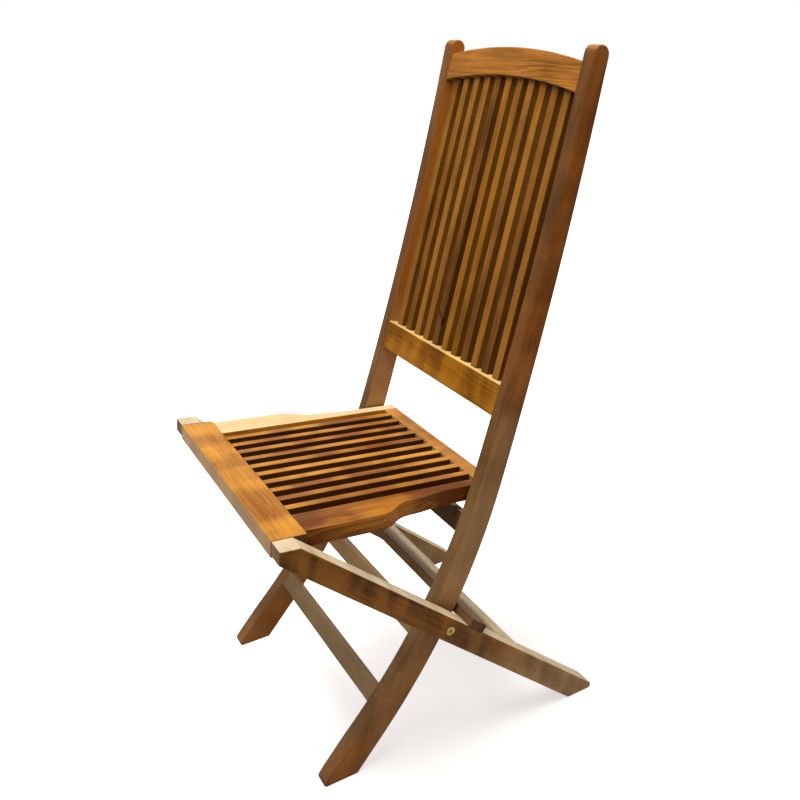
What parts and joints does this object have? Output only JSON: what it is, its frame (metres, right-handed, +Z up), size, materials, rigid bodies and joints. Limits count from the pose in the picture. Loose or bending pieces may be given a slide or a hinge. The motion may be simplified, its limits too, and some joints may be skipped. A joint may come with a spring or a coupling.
{
  "type": "folding patio chair",
  "caption": "Folding slatted wooden patio chair: bent back uprights, crossed rear legs on brass pivots and a seat that folds up towards the back.",
  "frame": {"origin": "on the floor, under the centre of the bounding box of the opened chair", "axes": "+X to the sitter's left, -Y towards the front of the chair, +Z up"},
  "size_m": [0.4896, 0.5586, 1.0589],
  "materials": {
    "upright_teak": "oiled, satin",
    "under_teak": "oiled, satin",
    "crest_teak": "oiled, satin",
    "lower_rail_teak": "oiled, satin",
    "back_slat_teak": "oiled, satin",
    "pivot_brass": "worn satin",
    "pin_steel": "dull",
    "leg_teak": "oiled, satin",
    "seat_teak": "oiled, satin",
    "seat_side_teak": "oiled, satin"
  },
  "bodies": {
    "back_frame": {"stile_left": "upright_teak", "stile_right": "upright_teak", "front_stretcher": "upright_teak", "middle_rail": "under_teak", "under_seat_rail": "under_teak", "crest_rail": "crest_teak", "lower_back_rail": "lower_rail_teak", "back_slat_01": "back_slat_teak", "back_slat_02": "back_slat_teak", "back_slat_03": "back_slat_teak", "back_slat_04": "back_slat_teak", "back_slat_05": "back_slat_teak", "back_slat_06": "back_slat_teak", "back_slat_07": "back_slat_teak", "back_slat_08": "back_slat_teak", "back_slat_09": "back_slat_teak", "back_slat_10": "back_slat_teak", "back_slat_11": "back_slat_teak", "pivot_bolt_left": "pivot_brass", "pivot_bolt_right": "pivot_brass", "pivot_insert_left": "pivot_brass", "pivot_insert_right": "pivot_brass", "pivot_washer_left": "pivot_brass", "pivot_washer_right": "pivot_brass", "seat_hinge_pin_left": "pin_steel", "seat_hinge_pin_right": "pin_steel"},
    "leg_frame": {"rear_leg_left": "leg_teak", "rear_leg_right": "leg_teak", "stop_bar": "leg_teak", "leg_cross_rail": "leg_teak", "seat_rest_pin_left": "pin_steel", "seat_rest_pin_right": "pin_steel"},
    "seat": {"seat_front_board": "seat_teak", "seat_side_rail_left": "seat_side_teak", "seat_side_rail_right": "seat_side_teak", "seat_rear_rail": "seat_teak", "seat_slat_01": "seat_teak", "seat_slat_02": "seat_teak", "seat_slat_03": "seat_teak", "seat_slat_04": "seat_teak", "seat_slat_05": "seat_teak", "seat_slat_06": "seat_teak", "seat_slat_07": "seat_teak", "seat_slat_08": "seat_teak", "seat_slat_09": "seat_teak", "seat_slat_10": "seat_teak"}
  },
  "joints": [
    {"name": "leg_fold", "type": "hinge", "parent": "back_frame", "child": "leg_frame", "pos_m": [0, -0.02327, 0.22749], "axis": [-1, 0, 0], "range_deg": [0, 58]},
    {"name": "seat_fold", "type": "hinge", "parent": "back_frame", "child": "seat", "pos_m": [0, 0.07028, 0.40384], "axis": [-1, 0, 0], "range_deg": [0, 87]}
  ],
  "couplings": [
    {"joint": "seat_fold", "follows": "leg_fold", "ratio": 1.5}
  ]
}
